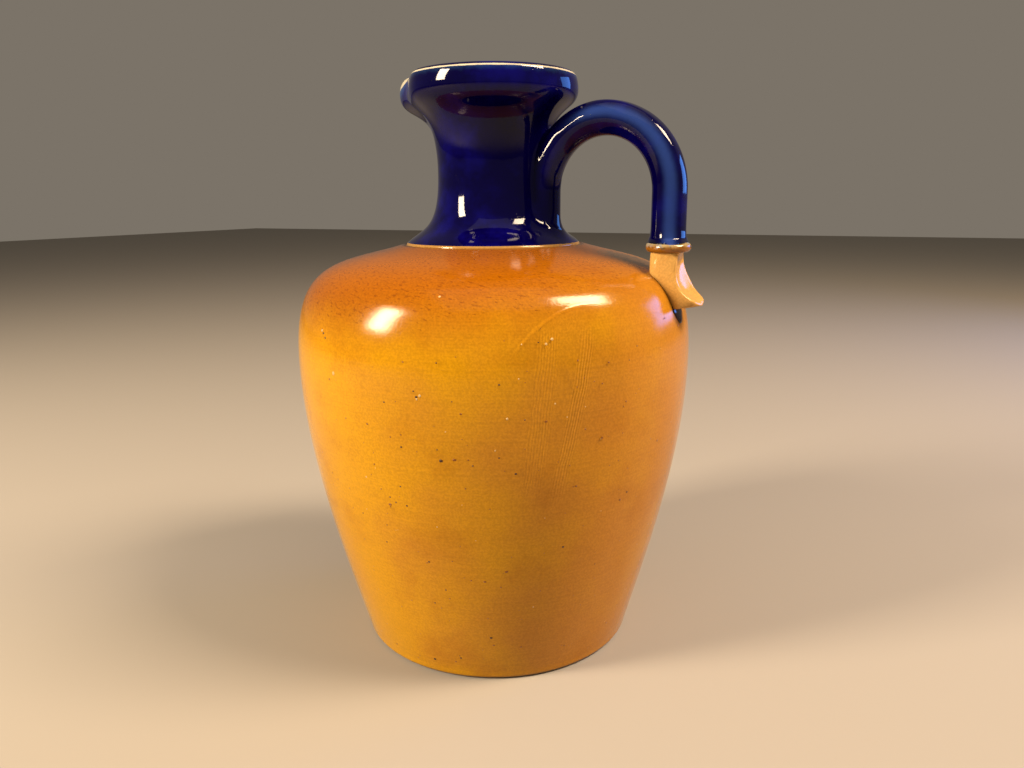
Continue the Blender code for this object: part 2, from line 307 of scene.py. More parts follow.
@dataclass
class Vessel:
    """The thrown body, neck and collar: one wall from the underside up and back down inside."""

    rim_height: float
    foot_radius: float = 47.8 * MM
    foot_round: float = 2.0 * MM
    foot_flare: float = math.radians(15.5)
    belly_radius: float = 66.5 * MM
    belly_height: float = 99.7 * MM
    seat_radius: float = 28.7 * MM
    shoulder_fall: float = math.radians(17)
    wall: float = 5.5 * MM
    floor: float = 6.5 * MM
    floor_corner: float = 8.0 * MM
    neck_length: float = 53.2 * MM
    neck_wall: float = 4.8 * MM
    neck_flare: float = math.radians(40)
    waist_radius: float = 18.15 * MM
    waist_rise: float = 22.8 * MM
    rim_radius: float = 28.35 * MM
    lip: float = 2.2 * MM
    band: float = 5.2 * MM
    band_round: float = 12 * MM
    step: float = 1.0 * MM
    step_flare: float = 0.6 * MM
    groove_width: float = 0.9 * MM
    groove_depth: float = 0.4 * MM
    spout_reach: float = 6.5 * MM
    spout_droop: float = 3.0 * MM
    spout_half_width: float = 15.0 * MM
    spout_length: float = 24.0 * MM
    pinch_depth: float = 1.3 * MM
    pinch_start: float = 0.4
    pinch_end: float = 2.1
    cobalt_edge: float = -0.35 * MM
    segments: int = 256
    wedges: int = 16

    def __post_init__(self) -> None:
        """Works out the heights that the others hang on, and the outer face above the underside."""
        self.seat_height = self.rim_height - self.neck_length
        self.waist_height = self.seat_height + self.waist_rise
        self.lip_height = self.rim_height - self.lip
        self.bore_radius = self.waist_radius - self.neck_wall
        self.crest_height = self.rim_height - self.band
        self.band_turn = math.asin((self.band - self.lip) / (self.band_round - self.lip))
        inward = self.band_round * (1 - math.cos(self.band_turn)) + self.lip * math.cos(self.band_turn)
        self.crown_radius = self.rim_radius - inward
        self.face = np.array(self.outer_outline()[3:])

    def side(self, inset: float, bottom: float, points: int) -> Outline:
        """The flaring side up to the widest place, set in from the outer face by inset."""
        height = self.belly_height - bottom
        foot = (self.foot_radius - inset / math.cos(self.foot_flare), bottom)
        belly = (self.belly_radius - inset, self.belly_height)
        return bezier(foot, (height * 0.29, UP - self.foot_flare), belly, (height / 3, UP), points)

    def shoulder(self, inset: float, end: tuple[float, float], points: int) -> Outline:
        """The rounded shoulder, from the widest place in and up to end."""
        rise = self.seat_height - self.belly_height
        run = self.belly_radius - self.seat_radius
        belly = (self.belly_radius - inset, self.belly_height)
        into = (run * 0.59 - inset / 2, INWARD - self.shoulder_fall)
        return bezier(belly, (rise * 0.9 - inset / 2, UP), end, into, points)

    def outer_outline(self) -> Outline:
        """The outer face from the centre of the underside up to the top of the lip."""
        step_radius = self.seat_radius + self.step_flare
        step_foot = self.seat_height - self.step
        step_low = (step_radius, step_foot)
        foot_centre = (self.foot_radius - self.foot_round, self.foot_round)
        groove_end = (step_radius + self.groove_width, step_foot + self.groove_depth / 2)
        upper = self.crest_height - self.waist_height
        crest = (self.rim_radius, self.crest_height)
        band_centre = (self.rim_radius - self.band_round, self.crest_height)
        seat, waist = (self.seat_radius, self.seat_height), (self.waist_radius, self.waist_height)
        off_seat = ((self.seat_radius - self.waist_radius) * 0.69, INWARD - self.neck_flare)
        return join(
            [(0, 0), (foot_centre[0] / 3, 0), (foot_centre[0] * 2 / 3, 0)],
            arc(foot_centre, self.foot_round, DOWN, 0, 9),
            self.side(0, self.foot_round, 56),
            self.shoulder(0, groove_end, 52),
            bezier(groove_end, (self.groove_depth, DOWN), step_low, (self.groove_depth, UP), 7),
            [(step_radius - 0.1 * MM, step_foot + self.step / 3)],
            [(self.seat_radius + 0.25 * MM, self.seat_height - 0.2 * MM), seat],
            bezier(seat, off_seat, waist, (self.waist_rise * 0.81, UP), 34),
            bezier(waist, (upper * 0.88, UP), crest, (upper * 0.30, UP), 36),
            arc(band_centre, self.band_round, 0, self.band_turn, 8),
            arc((self.crown_radius, self.lip_height), self.lip, self.band_turn, UP, 9),
        )

    def inner_outline(self) -> Outline:
        """The inner face from the top of the lip down the bore to the centre of the floor."""
        side = self.side(self.wall, self.floor + self.floor_corner, 20)
        seat = (self.seat_radius - self.wall / 2, self.seat_height - self.step - self.wall)
        throat_height = (self.seat_height + self.waist_height) / 2
        upper = self.lip_height - self.waist_height
        flat_end = (side[0][0] - self.floor_corner, self.floor)
        bend = self.floor_corner * 0.55
        floor = bezier(flat_end, (bend, 0), side[0], (bend, UP - self.foot_flare), 6)
        out = ((seat[0] - self.bore_radius) * 0.6, INWARD - self.shoulder_fall)
        into = ((throat_height - seat[1]) * 0.6, UP)
        throat = bezier(seat, out, (self.bore_radius, throat_height), into, 10)
        bore_top = (self.bore_radius, self.waist_height)
        brim = (self.crown_radius - self.lip, self.lip_height)
        mouth = bezier(bore_top, (upper * 0.84, UP), brim, (upper * 0.40, UP), 26)
        crown = arc((self.crown_radius, self.lip_height), self.lip, INWARD, UP, 9)
        floor_points = [(0, self.floor), (floor[0][0] / 2, self.floor)]
        shoulder = self.shoulder(self.wall, seat, 18)
        return join(floor_points, floor, side, shoulder, throat, mouth, crown)[::-1]

    def radius_at(self, heights: np.ndarray) -> np.ndarray:
        """The radius of the outer face at given heights."""
        return np.interp(heights, self.face[:, 1], self.face[:, 0])

    def seat_on(self, angle: float, height: float) -> Matrix:
        """The place on the outer face at an angle and a height, with Z outwards and X round it."""
        reach = 0.5 * MM
        low, here, high = self.radius_at(np.array([height - reach, height, height + reach]))
        round_it = Vector((-math.sin(angle), math.cos(angle), 0))
        outward = Vector((math.cos(angle), math.sin(angle), (low - high) / (2 * reach))).normalized()
        axes = Matrix((round_it, outward.cross(round_it), outward)).transposed().to_4x4()
        return Matrix.Translation((here * math.cos(angle), here * math.sin(angle), height)) @ axes

    def pull_spout(self, points: np.ndarray) -> None:
        """Draws the collar out towards -X in place and pinches it on both sides of the spout."""
        half_angle = self.spout_half_width / self.rim_radius
        share = np.abs(np.arctan2(points[:, 1], -points[:, 0])) / half_angle
        climb = np.clip((points[:, 2] - self.rim_height + self.spout_length) / self.spout_length, 0, 1)
        rise = climb * climb * (3 - 2 * climb)
        side = np.cos(np.clip(share, 0, 1) * UP) ** 2
        beside = np.clip((share - self.pinch_start) / (self.pinch_end - self.pinch_start), 0, 1)
        radius = np.maximum(np.hypot(points[:, 0], points[:, 1]), MM)
        shrink = 1 - self.pinch_depth * np.sin(beside * math.pi) ** 2 * rise / radius
        points[:, 0] = points[:, 0] * shrink - self.spout_reach * side * rise
        points[:, 1] *= shrink
        points[:, 2] -= self.spout_droop * side * side * rise * climb

    def build(self, materials: Sequence[Material], shape: Callable[[np.ndarray], None]) -> Object:
        """Turns the wall on the wheel, pulls the spout and presses in what the hands left.

        Args:
            materials: One material for each Skin.
            shape: Moves the vessel's points in place, for its dents and the handle's fillet.

        Returns:
            The vessel as one closed mesh.
        """
        outline = join(self.outer_outline(), self.inner_outline())
        bm = bmesh.new()
        layer = bm.verts.layers.float.new(ALONG)
        row = [bm.verts.new((r, 0, z)) for r, z in outline]
        travelled = 0.0
        for before, vert in zip([row[0], *row], row):
            travelled += (vert.co - before.co).length
            vert[layer] = travelled / MM
        edges = [bm.edges.new(pair) for pair in zip(row, row[1:])]
        marks = self.skin_edges()
        wedge = 2 * math.pi / self.wedges
        spin(bm, row + edges, wedge, self.segments // self.wedges)
        slice_geometry = bm.verts[:] + bm.edges[:] + bm.faces[:]
        for i in range(1, self.wedges):
            copied = bmesh.ops.duplicate(bm, geom=slice_geometry)["geom"]
            verts = [item for item in copied if isinstance(item, bmesh.types.BMVert)]
            bmesh.ops.rotate(bm, verts=verts, cent=(0, 0, 0), matrix=Matrix.Rotation(wedge * i, 3, "Z"))
        bmesh.ops.remove_doubles(bm, verts=bm.verts, dist=MERGE)
        for face in bm.faces:
            middle = sum(vert[layer] for vert in face.verts) / len(face.verts)
            face.material_index = self.skin_at(middle, marks).value
        points = points_of(bm)
        self.pull_spout(points)
        shape(points)
        move_to(bm, points)
        return to_object(bm, "vessel", materials)

    def skin_edges(self) -> dict[str, float]:
        """Distances along the outline, in mm, of the places where its skin changes."""
        outer = self.outer_outline()
        outline = join(outer, self.inner_outline())
        steps = [math.dist(a, b) for a, b in zip(outline, outline[1:])]
        along = np.concatenate([[0], np.cumsum(steps)]) / MM
        heights = np.array([z for _, z in outline])
        top = len(outer) - 1
        glaze = next(i for i in range(top) if outline[i][1] >= self.seat_height + self.cobalt_edge)
        inside = next(i for i in range(top, len(outline)) if heights[i] < self.waist_height)
        foot = next(i for i in range(top) if outline[i][1] > self.foot_round * 0.3)
        return {"foot": along[foot], "glaze": along[glaze], "lip": along[top], "inside": along[inside]}

    @staticmethod
    def skin_at(along: float, marks: dict[str, float]) -> Skin:
        """The skin at a distance along the outline."""
        if along < marks["foot"]:
            return Skin.UNDERSIDE
        if along < marks["glaze"]:
            return Skin.SALT_GLAZE
        return Skin.COBALT if along < marks["inside"] else Skin.INSIDE


@dataclass
class HandMarks:
    """What the potter's hands left on the vessel: a dent and a fillet."""

    vessel: Vessel
    rod: Rod
    dent_angle: float = math.radians(-45)
    dent_height: float = 98 * MM
    dent_half_width: float = 21 * MM
    dent_half_height: float = 27 * MM
    dent_depth: float = 0.7 * MM
    fillet_foot: float = 5.0 * MM
    fillet_neck: float = 2.2 * MM
    fillet_bottom: float = 139 * MM
    fillet_top: float = 151 * MM
    corner_low: tuple[float, float, float] = (5 * MM, -16 * MM, 137.2 * MM)
    corner_high: tuple[float, float, float] = (40 * MM, 16 * MM, 184 * MM)
    corner_depth: float = 1.5 * MM
    corner_reach: float = 6 * MM
    longest_step: float = 0.5 * MM
    passes: int = 4
    sink_share: float = 0.35
    deepest_sink: float = 0.6 * MM

    def blend_width(self, heights: np.ndarray) -> np.ndarray:
        """How widely the glaze and clay fill the corner between neck and rod, by height."""
        widths = (self.fillet_foot, self.fillet_neck)
        return np.interp(heights, (self.fillet_bottom, self.fillet_top), widths)

    def neck_distance(self, points: np.ndarray) -> np.ndarray:
        """How far points lie outside the neck."""
        reach = 0.5 * MM
        low, here, high = (self.vessel.radius_at(points[:, 2] + step) for step in (-reach, 0, reach))
        slope = (high - low) / (2 * reach)
        return (np.hypot(points[:, 0], points[:, 1]) - here) / np.sqrt(1 + slope * slope)

    def field(self, points: np.ndarray) -> np.ndarray:
        """Distance to the neck and rod blended into one skin."""
        neck = self.neck_distance(points)
        rod = self.rod.distance(points)
        width = self.blend_width(points[:, 2])
        overlap = np.maximum(width - np.abs(neck - rod), 0) / width
        return np.minimum(neck, rod) - overlap * overlap * width / 4

    def gradient(self, points: np.ndarray) -> np.ndarray:
        """The outward direction of the blended skin."""
        reach = 0.05 * MM
        axes = np.eye(3) * reach
        grown = np.stack([self.field(points + axis) - self.field(points - axis) for axis in axes], axis=1)
        return grown / np.maximum(np.linalg.norm(grown, axis=1), 1e-12)[:, None]

    def fill_corner(self, points: np.ndarray, is_rod: bool) -> None:
        """Moves points near the corner of neck and rod onto their blended skin, in place.

        Past the middle of the corner each piece dives under the other one's skin.

        Args:
            points: The points of one piece.
            is_rod: Whether they are the rod's, and not the neck's.
        """
        near = ((points > self.corner_low) & (points < self.corner_high)).all(axis=1)
        radius = np.hypot(points[:, 0], points[:, 1])
        near &= radius > self.vessel.radius_at(points[:, 2]) - self.corner_depth
        index = np.flatnonzero(near)
        local = points[index]
        neck = self.neck_distance(local)
        rod = self.rod.distance(local)
        close = (np.abs(neck) < self.corner_reach) & (np.abs(rod) < self.corner_reach)
        index, local = index[close], local[close]
        for _ in range(self.passes):
            step = np.clip(self.field(local), -self.longest_step, self.longest_step)
            local -= self.gradient(local) * step[:, None]
        other = self.neck_distance(local) if is_rod else self.rod.distance(local)
        own = self.rod.distance(local) if is_rod else self.neck_distance(local)
        sink = np.clip((own - other) * self.sink_share, 0, self.deepest_sink)
        local -= self.gradient(local) * sink[:, None]
        points[index] = local

    def press(self, points: np.ndarray) -> None:
        """Shapes the vessel's points in place: the shallow dent and the fillet under the rod."""
        angle = np.arctan2(points[:, 1], points[:, 0]) - self.dent_angle
        across = angle * self.vessel.belly_radius / self.dent_half_width
        up = (points[:, 2] - self.dent_height) / self.dent_half_height
        inside = np.clip(1 - across * across - up * up, 0, 1)
        radius = np.hypot(points[:, 0], points[:, 1])
        push = self.dent_depth * inside * inside * (3 - 2 * inside)
        points[:, :2] *= (1 - push / np.maximum(radius, MM))[:, None]
        self.fill_corner(points, is_rod=False)


@dataclass
class Handle:
    """The loop of glazed rod that rises beside the neck and comes down over the shoulder.

    Turns round the rod count from the side that faces the loop's middle, and are negative to -Y.
    Each span says between which places along X a trait of the rod sets in.
    """

    rod: Rod
    sides: int = 40
    facet: float = 0.09 * MM
    facets: int = 5
    flat_turn: float = math.radians(-170)
    flat_depth: float = 0.5 * MM
    flat_span: tuple[float, float] = (34 * MM, 50 * MM)
    flare_span: tuple[float, float] = (50 * MM, 58 * MM)
    ridge_turn: float = math.radians(-108)
    ridge_span: tuple[float, float] = (22 * MM, 36 * MM)
    ridge_sharpness: int = 12
    bore_clearance: float = 15.6 * MM

    def build(self, material: Material, marks: HandMarks) -> Object:
        """Sweeps the rod along its route and fills its corner with the neck.

        Args:
            material: The cobalt glaze.
            marks: The corner that the rod shares with the neck.

        Returns:
            The loop as one closed mesh.
        """
        route = self.rod.route()
        bm = bmesh.new()
        rings = []
        for i, middle in enumerate(route):
            ahead = (route[min(i + 1, len(route) - 1)] - route[max(i - 1, 0)]).normalized()
            to_middle = Vector((0, 1, 0)).cross(ahead)
            height = max(middle.z - self.rod.bead_top_z, 0)
            leg = smoothstep(*self.flare_span, middle.x)
            radius = self.rod.radius + leg * self.rod.flare * math.exp(-height / self.rod.flare_height)
            flatness = self.flat_depth * smoothstep(*self.flat_span, middle.x)
            ring = []
            for k in range(self.sides):
                turn = 2 * math.pi * k / self.sides
                swell = self.facet * math.cos(self.facets * turn + 2.5 * i / len(route))
                spoke = math.cos(turn) * to_middle + math.sin(turn) * Vector((0, 1, 0))
                flat = (radius - flatness) / max(math.cos(turn - self.flat_turn), 0.5)
                ring.append(middle + (min(radius, flat) - self.facet + swell) * spoke)
            rings.append(ring)
        layer = bm.verts.layers.float.new(RIDGE)
        loft(bm, rings)
        # The ridge value marks the band along the rod's camera side that turns lighter blue, partly thin
        # glaze and partly painted sheen.
        for i, vert in enumerate(bm.verts):
            toward = math.cos(2 * math.pi * (i % self.sides) / self.sides - self.ridge_turn)
            ridge = max(toward, 0) ** self.ridge_sharpness
            vert[layer] = ridge * smoothstep(*self.ridge_span, vert.co.x)
        points = points_of(bm)
        marks.fill_corner(points, is_rod=True)
        radius = np.hypot(points[:, 0], points[:, 1])
        points[:, :2] *= np.maximum(self.bore_clearance / np.maximum(radius, MM), 1)[:, None]
        move_to(bm, points)
        return to_object(bm, "handle_loop", [material])


@dataclass
class Bead:
    """The uneven ring of clay where the blue rod ends."""

    rod: Rod
    middle_z: float = 135.8 * MM
    outer_radius: float = 7.05 * MM
    thickness: float = 2.9 * MM
    waver: float = 0.22 * MM
    sides: int = 20
    segments: int = 96

    def build(self, material: Material) -> Object:
        """Turns the ring's section round the rod's leg and lets its edges waver.

        Args:
            material: The thinly glazed clay.

        Returns:
            The ring as one closed mesh.
        """
        half = self.thickness / 2
        bm = bmesh.new()
        ring = bmesh.ops.create_circle(bm, segments=self.sides, radius=half)["verts"]
        lay = Matrix.Rotation(math.pi / 2, 3, "X")
        bmesh.ops.rotate(bm, verts=ring, cent=(0, 0, 0), matrix=lay)
        bmesh.ops.translate(bm, verts=ring, vec=(self.outer_radius - half, 0, 0))
        edges = edges_of(ring)
        spin(bm, ring + edges, 2 * math.pi, self.segments)
        for vert in bm.verts:
            turn = math.atan2(vert.co.y, vert.co.x)
            wave = math.sin(2 * turn + 0.7) * 0.6 + math.sin(5 * turn + 2.0) * 0.4
            swell = math.sin(3 * turn + 1.3) * 0.5 + math.sin(7 * turn) * 0.3
            out = smoothstep(self.rod.radius, self.outer_radius, vert.co.xy.length)
            vert.co.z += self.waver * wave * (1 if vert.co.z > 0 else 0.4)
            scale = 1 - self.waver * (0.8 - swell) * out / self.outer_radius
            vert.co.x *= scale
            vert.co.y *= scale
        bmesh.ops.translate(bm, verts=bm.verts, vec=(self.rod.leg_x, 0, self.middle_z))
        return to_object(bm, "handle_bead", [material])


@dataclass
class Tail:
    """The bare end of the rod below the bead, pressed on the shoulder and flicked out to a lip."""

    rod: Rod
    vessel: Vessel
    top_z: float = 136.6 * MM
    foot_z: float = 117.2 * MM
    lip_x: float = 72.9 * MM
    burial: float = 2.0 * MM
    half_width: float = 5.3 * MM
    face_swell: float = 0.6 * MM
    lip_half_width: float = 0.9 * MM
    lip_start_z: float = 123.2 * MM
    dish: float = 1.4 * MM
    skew: float = 1.15 * MM
    lip_rise: float = 1.2 * MM
    lip_round: float = 1.0 * MM
    lip_thickness: float = 0.6 * MM
    inset: float = 0.35 * MM
    outer_squareness: float = 2.6
    inner_squareness: float = 0.8
    sides: int = 48
    stations: int = 40

    def section(self, share: float) -> list[Vector]:
        """The points round one cut of the tail, whose outer face is turned a little to -Y.

        Args:
            share: How far down the tail the cut is, from 0 at the bead to 1 at the lip.

        Returns:
            The cut's points, from its outer middle round.
        """
        height = self.top_z - self.foot_z
        half_depth = self.rod.radius - self.inset
        outer_top, inner_top = self.rod.leg_x + half_depth, self.rod.leg_x - half_depth
        out, into = (height * 0.52, DOWN - 0.12), (height * 0.36, DOWN / 2)
        tip = (self.lip_x, self.foot_z + self.lip_thickness)
        curve = bezier((outer_top, self.top_z), out, tip, into, self.stations)
        outer, z = curve[round(share * (self.stations - 1))]
        round_off = smoothstep(0.88, 1.0, share)
        z -= self.lip_thickness * round_off
        body = float(self.vessel.radius_at(np.array([z]))[0])
        inner = max(inner_top, body - self.burial)
        square = smoothstep(0.0, 0.22, share)
        narrowing = min(max((self.lip_start_z - z) / (self.lip_start_z - self.foot_z), 0.0), 1.0)
        taper = 1 - math.sqrt(1 - narrowing * narrowing)
        skew = self.skew * smoothstep(0.15, 0.5, share) * (1 - taper)
        face = self.half_width + self.face_swell * smoothstep(0.1, 0.5, share)
        face += (self.lip_half_width - face) * taper
        dish = self.dish * square * (1 - round_off)
        outer -= self.lip_round * round_off * round_off
        points = []
        for k in range(self.sides):
            turn = 2 * math.pi * k / self.sides
            squareness = self.outer_squareness if math.cos(turn) > 0 else self.inner_squareness
            power = 2 / (2 + squareness * square)
            across = math.copysign(abs(math.sin(turn)) ** power, math.sin(turn))
            deep = math.copysign(abs(math.cos(turn)) ** power, math.cos(turn))
            width = self.half_width + (face - self.half_width) * ((deep + 1) / 2) ** 3
            hollow = dish * max(deep, 0) * (1 - across * across)
            x = (outer + inner) / 2 + (outer - inner) / 2 * deep - hollow + skew * across * max(deep, 0)
            lift = self.lip_rise * (deep + 1) / 2 * smoothstep(0.6, 1.0, share)
            points.append(Vector((x, across * width, z + lift)))
        return points

    def build(self, material: Material) -> Object:
        """Lofts the tail's cuts from inside the bead to the lip.

        Args:
            material: The salt-glazed clay.

        Returns:
            The tail as one closed mesh.
        """
        bm = bmesh.new()
        loft(bm, [self.section(i / (self.stations - 1)) for i in range(self.stations)])
        return to_object(bm, "handle_tail", [material])


@dataclass
class GlazeRun:
    """The drop of thick blue glaze that ran out under the tail."""

    vessel: Vessel
    angle: float = math.radians(-0.6)
    top_z: float = 121.0 * MM
    tip_z: float = 112.4 * MM
    half_width: float = 4.6 * MM
    tip_share: float = 0.6
    thickness: float = 0.4 * MM

    def build(self, material: Material) -> Object:
        """Shapes a ball into a long drop that lies on the body.

        Args:
            material: The thick cobalt glaze.

        Returns:
            The drop as one closed mesh.
        """
        bm = bmesh.new()
        bmesh.ops.create_uvsphere(bm, u_segments=24, v_segments=16, radius=1)
        for vert in bm.verts:
            rise = smoothstep(0, 0.6, (vert.co.y + 1) / 2)
            vert.co.x *= self.tip_share + (1 - self.tip_share) * rise
        half = (self.top_z - self.tip_z) / 2
        bmesh.ops.scale(bm, verts=bm.verts, vec=(self.half_width, half, self.thickness))
        bmesh.ops.transform(bm, verts=bm.verts, matrix=self.vessel.seat_on(self.angle, self.tip_z + half))
        return to_object(bm, "glaze_run", [material])


@dataclass
class KilnSpecks:
    """Iron spots and grit that the kiln left on the body, in degrees and millimetres."""

    vessel: Vessel
    iron: tuple[tuple[float, float, float], ...] = (
        (-112.8, 112.6, 0.36), (-111.6, 111.4, 0.33), (-81.5, 98.2, 0.33), (-82.2, 99.8, 0.23),
        (-76.1, 79.9, 0.49), (-57.7, 76.2, 0.33), (-68.2, 78.8, 0.25), (-61.8, 81.2, 0.24),
        (-76.9, 83.2, 0.21), (-86.5, 83.0, 0.28), (-55.6, 92.1, 0.24), (-61.6, 102.2, 0.25),
        (-72.7, 97.4, 0.20), (-90.4, 95.8, 0.24), (-43.7, 50.4, 0.33), (-31.5, 41.1, 0.24),
        (-82.6, 45.6, 0.30), (-78.5, 35.8, 0.24), (-82.9, 30.1, 0.26), (-65.0, 17.8, 0.41),
        (-87.5, 5.8, 0.46), (-76.5, 8.4, 0.36), (-76.9, 9.3, 0.23), (-96.3, 49.7, 0.30),
        (-94.8, 56.1, 0.25), (-86.9, 64.3, 0.33), (-103.8, 57.7, 0.28), (-23.9, 64.3, 0.33),
        (-76.3, 107.9, 0.22), (-52.2, 113.2, 0.20), (-24.5, 109.6, 0.22), (-27.4, 106.0, 0.20),
        (-88.1, 70.4, 0.25), (-91.9, 66.2, 0.26), (-90.2, 64.8, 0.24), (-92.3, 62.9, 0.22),
    )
    pale: tuple[tuple[float, float, float], ...] = (
        (-107.6, 101.6, 0.62), (-59.8, 92.6, 0.36), (-48.8, 113.9, 0.42), (-50.3, 112.7, 0.40),
        (-113.6, 113.3, 0.45), (-80.6, 98.6, 0.42), (-81.4, 97.6, 0.36), (-99.2, 71.2, 0.36),
        (-76.8, 125.0, 0.34), (-48.3, 96.2, 0.28), (-62.7, 83.4, 0.26),
    )
    scattered: int = 420
    scattered_grit: int = 46
    least_radius: float = 0.14
    mean_excess: float = 0.08
    most_radius: float = 0.40
    height_share: float = 0.16
    seed: int = 11

    def bump(self) -> bpy.types.Mesh:
        """One flat round bump, a millimetre in radius, that every spot is a copy of."""
        bm = bmesh.new()
        bmesh.ops.create_uvsphere(bm, u_segments=8, v_segments=5, radius=MM)
        bmesh.ops.scale(bm, verts=bm.verts, vec=(1, 1, self.height_share))
        mesh = bpy.data.meshes.new("bump")
        bm.to_mesh(mesh)
        bm.free()
        return mesh

    def spots(self, places: Sequence[tuple[float, float, float, float]]) -> BMesh:
        """Sets flat bumps on the body.

        Args:
            places: The angle, height, radius and stretch of each, in degrees and millimetres.

        Returns:
            One mesh of them all.
        """
        bump = self.bump()
        bm = bmesh.new()
        for angle, height, radius, stretch in places:
            copy = bump.copy()
            size = Matrix.Diagonal((radius * stretch, radius, radius, 1))
            copy.transform(self.vessel.seat_on(math.radians(angle), height * MM) @ size)
            bm.from_mesh(copy)
            bpy.data.meshes.remove(copy)
        return bm

    def build(self, iron: Material, faint: Material, pale: Material) -> list[Object]:
        """Sets the spots that the photograph shows, and scatters finer ones all round.

        Args:
            iron: The dark spots' material.
            faint: The fine scattered spots' material.
            pale: The grit's material.

        Returns:
            The dark spots, the faint ones and the grit.
        """
        draw = random.Random(self.seed)
        dark = [(*spot, draw.uniform(1.0, 1.4)) for spot in self.iron]
        fine = []
        for _ in range(self.scattered):
            radius = min(draw.expovariate(1 / self.mean_excess) + self.least_radius, self.most_radius)
            fine.append((draw.uniform(-180, 180), draw.uniform(4, 118), radius, draw.uniform(1.0, 1.6)))
        grit = [(*spot, draw.uniform(0.8, 1.2)) for spot in self.pale]
        for _ in range(self.scattered_grit):
            grit.append((draw.uniform(-180, 180), draw.uniform(6, 125), draw.uniform(0.12, 0.24), 1.0))
        kinds = (("iron_specks", dark, iron), ("faint_specks", fine, faint), ("pale_grit", grit, pale))
        return [to_object(self.spots(places), name, [material]) for name, places, material in kinds]


class Recipe:
    """A finish being mixed: its material, its shader and the few kinds of node it is made of."""

    def __init__(self, name: str) -> None:
        """Starts a material with its Principled shader."""
        self.material = bpy.data.materials.new(name)
        self.material.use_nodes = True
        self.shader = self.material.node_tree.nodes["Principled BSDF"]
        self.add = partial(add_node, self.material.node_tree)
        self.place = self.add("TexCoord", output="Object")
        self.x, self.y, self.z = (self.add("SeparateXYZ", None, {0: self.place}, axis) for axis in range(3))

    def math(self, operation: str, *values: Value) -> Socket:
        """One step of arithmetic on up to three values."""
        return self.add("Math", {"operation": operation}, dict(enumerate(values)))

    def plus(self, first: Value, second: Value) -> Socket:
        """The sum of two values."""
        return self.math("ADD", first, second)

    def minus(self, first: Value, second: Value) -> Socket:
        """The first value less the second."""
        return self.math("SUBTRACT", first, second)

    def times(self, first: Value, second: Value, plus: Value = 0.0) -> Socket:
        """The product of two values, and a third one added to it."""
        return self.math("MULTIPLY_ADD", first, second, plus)

    def length(self, vector: Value) -> Socket:
        """How long a vector is."""
        return self.add("VectorMath", {"operation": "LENGTH"}, {0: vector}, "Value")

    def attribute(self, name: str) -> Socket:
        """A number that the mesh carries at each of its points."""
        return self.add("Attribute", {"attribute_name": name}, None, "Fac")

    def noise(
        self, spacing: float, detail: float = 2.0, rough: float = 0.5, over: Value | None = None
    ) -> Socket:
        """Soft noise in lumps of about a given spacing, over the place or another vector."""
        over = self.place if over is None else over
        inputs = {"Vector": over, "Scale": 1 / spacing, "Detail": detail, "Roughness": rough}
        return self.add("TexNoise", None, inputs)

    def ramp(self, value: Value, low: float, high: float, start: float = 0.0, end: float = 1.0) -> Socket:
        """Goes softly from start to end while value goes from low to high."""
        inputs = {"Value": value, "From Min": low, "From Max": high, "To Min": start, "To Max": end}
        return self.add("MapRange", {"interpolation_type": "SMOOTHSTEP"}, inputs)

    def fade(self, value: Value, *ramps: tuple[Value, float, float]) -> Socket:
        """A value that one or more ramps take down to nothing."""
        for along, low, high in ramps:
            value = self.math("MULTIPLY", self.ramp(along, low, high), value)
        return value

    def mix(self, share: Value, under: Value | str, over: Value | str) -> Socket:
        """Lays one colour over another by a share. Either is a socket or a hex colour."""
        under, over = (linear(c) if isinstance(c, str) else c for c in (under, over))
        return self.add("Mix", {"data_type": "RGBA"}, {0: share, 6: under, 7: over}, 2)

    def bump(self, height: Value, depth: float, normal: Socket | None = None) -> Socket:
        """Raises the skin by a height from 0 to 1, over the relief that is there."""
        there = {} if normal is None else {"Normal": normal}
        return self.add("Bump", None, {"Height": height, "Distance": depth, **there})

    def finish(
        self,
        colour: Socket,
        normal: Socket,
        roughness: float,
        ior: float = 1.5,
        level: float = 0.5,
        tint: str = "ffffff",
    ) -> Material:
        """Links the pattern and sets the values that are the same all over the skin.

        Args:
            colour: Its colour.
            normal: Its fine relief.
            roughness: How far its mirror image is blurred.
            ior: Its index of refraction.
            level: How strong its mirror image is, 0.5 being what the index gives.
            tint: The hue of the mirror image.

        Returns:
            The material.
        """
        self.material.node_tree.links.new(colour, self.shader.inputs["Base Color"])
        self.material.node_tree.links.new(normal, self.shader.inputs["Normal"])
        self.shader.inputs["Roughness"].default_value = roughness
        self.shader.inputs["IOR"].default_value = ior
        self.shader.inputs["Specular IOR Level"].default_value = level
        self.shader.inputs["Specular Tint"].default_value = linear(tint)
        return self.material


